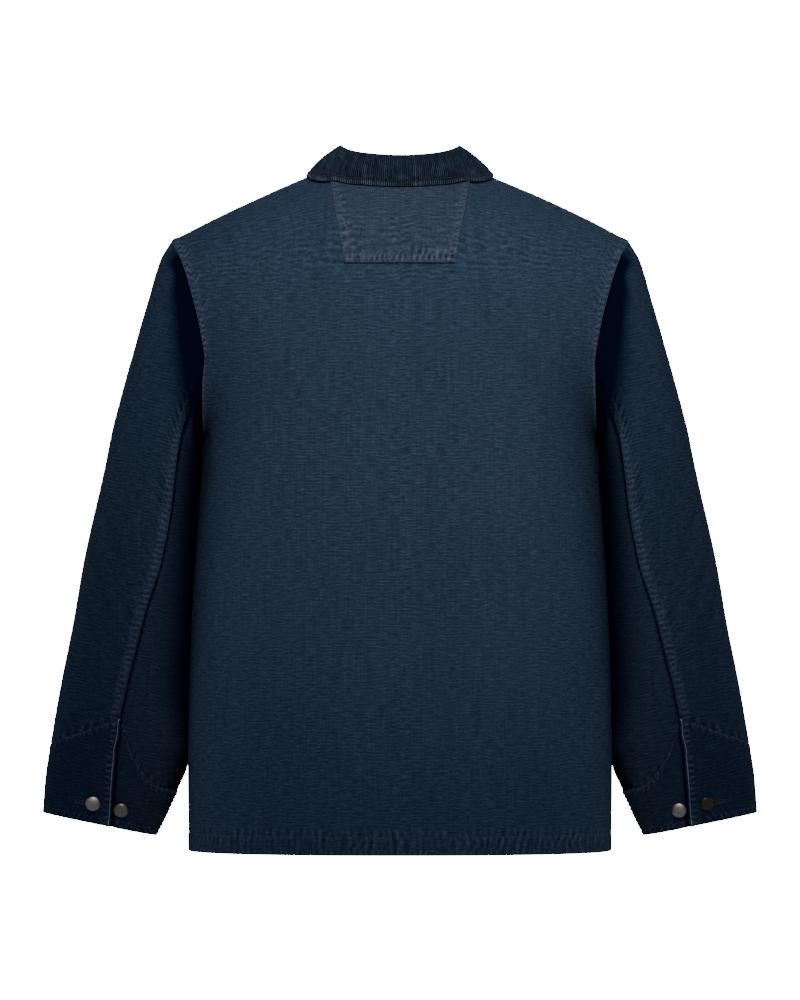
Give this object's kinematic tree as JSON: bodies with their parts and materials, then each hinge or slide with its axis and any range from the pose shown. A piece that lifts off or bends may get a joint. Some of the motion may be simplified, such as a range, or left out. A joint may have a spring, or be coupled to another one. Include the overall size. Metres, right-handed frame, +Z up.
{
  "type": "chore jacket",
  "caption": "Worn, open, hollow chore jacket in navy canvas with a folded corduroy collar, two-piece sleeves, shaped buttoned cuffs, a back neck patch and hip pockets.",
  "frame": {"origin": "on the centre line, level with the high points of the shoulders, where the wearer's neck and shoulders hold the jacket", "axes": "+Z up, the wearer faces -Y, so the back is at +Y, and +X is the wearer's left"},
  "size_m": [0.7686, 0.2662, 0.7553],
  "materials": {
    "canvas": "navy cotton duck canvas, matt, garment-washed",
    "faded_canvas": "the same canvas, a little more faded",
    "corduroy": "navy cotton corduroy with fine ribs",
    "metal": "gunmetal tack buttons, brushed and dull"
  },
  "bodies": {
    "root": {"back": "canvas", "back_patch": "faded_canvas", "front_left": "canvas", "front_right": "canvas", "pocket_left": "canvas", "pocket_right": "canvas", "collar": "corduroy", "top_sleeve_left": "canvas", "top_sleeve_right": "canvas", "under_sleeve_left": "canvas", "under_sleeve_right": "canvas", "cuff_top_left": "canvas", "cuff_top_right": "canvas", "cuff_under_left": "canvas", "cuff_under_right": "canvas", "button_front_1": "metal", "button_front_2": "metal", "button_front_3": "metal", "button_front_4": "metal", "button_front_5": "metal", "button_cuff_left_1": "metal", "button_cuff_left_2": "metal", "button_cuff_right_1": "metal", "button_cuff_right_2": "metal"}
  },
  "joints": []
}
